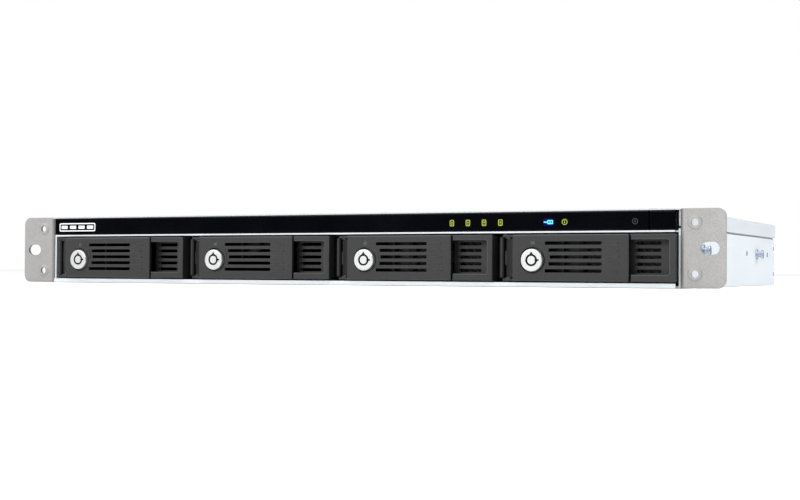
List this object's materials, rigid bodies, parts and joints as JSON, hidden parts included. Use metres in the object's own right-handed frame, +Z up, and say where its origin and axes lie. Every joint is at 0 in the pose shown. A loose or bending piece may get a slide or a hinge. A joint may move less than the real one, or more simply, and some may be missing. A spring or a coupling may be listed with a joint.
{
  "type": "nas enclosure",
  "caption": "Short rack-mount network storage enclosure: steel case with ears, glossy indicator band and locking slide-out drive trays behind slotted swing levers.",
  "frame": {"origin": "middle of the overall box in X and Y, on the underside in Z", "axes": "+X to the right seen from the front, +Y from the front to the rear, +Z up"},
  "size_m": [0.4826, 0.293, 0.0447],
  "materials": {
    "galvanised_steel": "satin zinc-plated sheet",
    "ear_powder_coat": "fine-grained warm grey powder coat",
    "zinc_fasteners": "bright zinc",
    "gloss_band": "high gloss black",
    "black_plastic": "matte moulded",
    "smoked_window": "smoked clear",
    "circuit_board": "solder mask",
    "heatsink_aluminium": "extruded",
    "port_shell": "plated shell",
    "psu_steel": "satin",
    "reset_plastic": "matte",
    "tray_plastic": "fine spark-eroded satin",
    "mesh_paint": "matte black",
    "lock_chrome": "polished, lightly worn",
    "pin_steel": "drawn wire",
    "drive_casting": "cast and plated"
  },
  "bodies": {
    "chassis": {"base_pan": "galvanised_steel", "top_cover": "galvanised_steel", "cover_strap": "galvanised_steel", "bay_roof": "galvanised_steel", "bay_dividers": "galvanised_steel", "rear_panel": "galvanised_steel", "ear_left": "ear_powder_coat", "ear_right": "ear_powder_coat", "rail_studs": "zinc_fasteners", "ear_screws": "zinc_fasteners", "lid_screws": "zinc_fasteners", "board_standoffs": "zinc_fasteners", "front_panel": "gloss_band", "bezel_frame": "black_plastic", "guide_rails": "black_plastic", "fan_frames": "black_plastic", "psu_inlet": "black_plastic", "backplane_sockets": "black_plastic", "reset_switch": "black_plastic", "indicator_windows": "smoked_window", "led_board": "circuit_board", "backplane": "circuit_board", "mainboard": "circuit_board", "memory_module": "circuit_board", "heatsink": "heatsink_aluminium", "lan_ports": "port_shell", "usb_ports": "port_shell", "psu_case": "psu_steel"},
    "tray_1": {"tray_1": "tray_plastic", "tray_bezel_1": "tray_plastic", "tray_mesh_1": "mesh_paint", "hinge_pin_1": "pin_steel", "drive_1": "drive_casting"},
    "lever_1": {"lever_1": "tray_plastic"},
    "lock_1": {"lock_1": "lock_chrome"},
    "tray_2": {"tray_2": "tray_plastic", "tray_bezel_2": "tray_plastic", "tray_mesh_2": "mesh_paint", "hinge_pin_2": "pin_steel", "drive_2": "drive_casting"},
    "lever_2": {"lever_2": "tray_plastic"},
    "lock_2": {"lock_2": "lock_chrome"},
    "tray_3": {"tray_3": "tray_plastic", "tray_bezel_3": "tray_plastic", "tray_mesh_3": "mesh_paint", "hinge_pin_3": "pin_steel", "drive_3": "drive_casting"},
    "lever_3": {"lever_3": "tray_plastic"},
    "lock_3": {"lock_3": "lock_chrome"},
    "tray_4": {"tray_4": "tray_plastic", "tray_bezel_4": "tray_plastic", "tray_mesh_4": "mesh_paint", "hinge_pin_4": "pin_steel", "drive_4": "drive_casting"},
    "lever_4": {"lever_4": "tray_plastic"},
    "lock_4": {"lock_4": "lock_chrome"},
    "fan_rotor_1": {"fan_rotor_1": "black_plastic"},
    "fan_rotor_2": {"fan_rotor_2": "black_plastic"},
    "power_button": {"power_button": "gloss_band"},
    "reset_button": {"reset_button": "reset_plastic"}
  },
  "joints": [
    {"name": "tray_1_slide", "type": "slide", "parent": "chassis", "child": "tray_1", "axis": [0, -1, 0], "range_m": [0, 0.165]},
    {"name": "lever_1_swing", "type": "hinge", "parent": "tray_1", "child": "lever_1", "pos_m": [-0.2071, -0.1385, 0.01665], "axis": [0, 0, -1], "range_deg": [0, 75]},
    {"name": "lock_1_turn", "type": "hinge", "parent": "lever_1", "child": "lock_1", "pos_m": [-0.1908, -0.1425, 0.0153], "axis": [0, 1, 0], "range_deg": [0, 90]},
    {"name": "tray_2_slide", "type": "slide", "parent": "chassis", "child": "tray_2", "axis": [0, -1, 0], "range_m": [0, 0.165]},
    {"name": "lever_2_swing", "type": "hinge", "parent": "tray_2", "child": "lever_2", "pos_m": [-0.0996, -0.1385, 0.01665], "axis": [0, 0, -1], "range_deg": [0, 75]},
    {"name": "lock_2_turn", "type": "hinge", "parent": "lever_2", "child": "lock_2", "pos_m": [-0.0833, -0.1425, 0.0153], "axis": [0, 1, 0], "range_deg": [0, 90]},
    {"name": "tray_3_slide", "type": "slide", "parent": "chassis", "child": "tray_3", "axis": [0, -1, 0], "range_m": [0, 0.165]},
    {"name": "lever_3_swing", "type": "hinge", "parent": "tray_3", "child": "lever_3", "pos_m": [0.0079, -0.1385, 0.01665], "axis": [0, 0, -1], "range_deg": [0, 75]},
    {"name": "lock_3_turn", "type": "hinge", "parent": "lever_3", "child": "lock_3", "pos_m": [0.0242, -0.1425, 0.0153], "axis": [0, 1, 0], "range_deg": [0, 90]},
    {"name": "tray_4_slide", "type": "slide", "parent": "chassis", "child": "tray_4", "axis": [0, -1, 0], "range_m": [0, 0.165]},
    {"name": "lever_4_swing", "type": "hinge", "parent": "tray_4", "child": "lever_4", "pos_m": [0.1154, -0.1385, 0.01665], "axis": [0, 0, -1], "range_deg": [0, 75]},
    {"name": "lock_4_turn", "type": "hinge", "parent": "lever_4", "child": "lock_4", "pos_m": [0.1317, -0.1425, 0.0153], "axis": [0, 1, 0], "range_deg": [0, 90]},
    {"name": "fan_1_spin", "type": "hinge", "parent": "chassis", "child": "fan_rotor_1", "pos_m": [-0.012, 0.1315, 0.0216], "axis": [0, 1, 0], "continuous": true},
    {"name": "fan_2_spin", "type": "hinge", "parent": "chassis", "child": "fan_rotor_2", "pos_m": [0.034, 0.1315, 0.0216], "axis": [0, 1, 0], "continuous": true},
    {"name": "power_button_press", "type": "slide", "parent": "chassis", "child": "power_button", "axis": [0, 1, 0], "range_m": [0, 0.001], "stiffness_N_per_m": 400},
    {"name": "reset_button_press", "type": "slide", "parent": "chassis", "child": "reset_button", "axis": [0, -1, 0], "range_m": [0, 0.0008], "stiffness_N_per_m": 200}
  ]
}
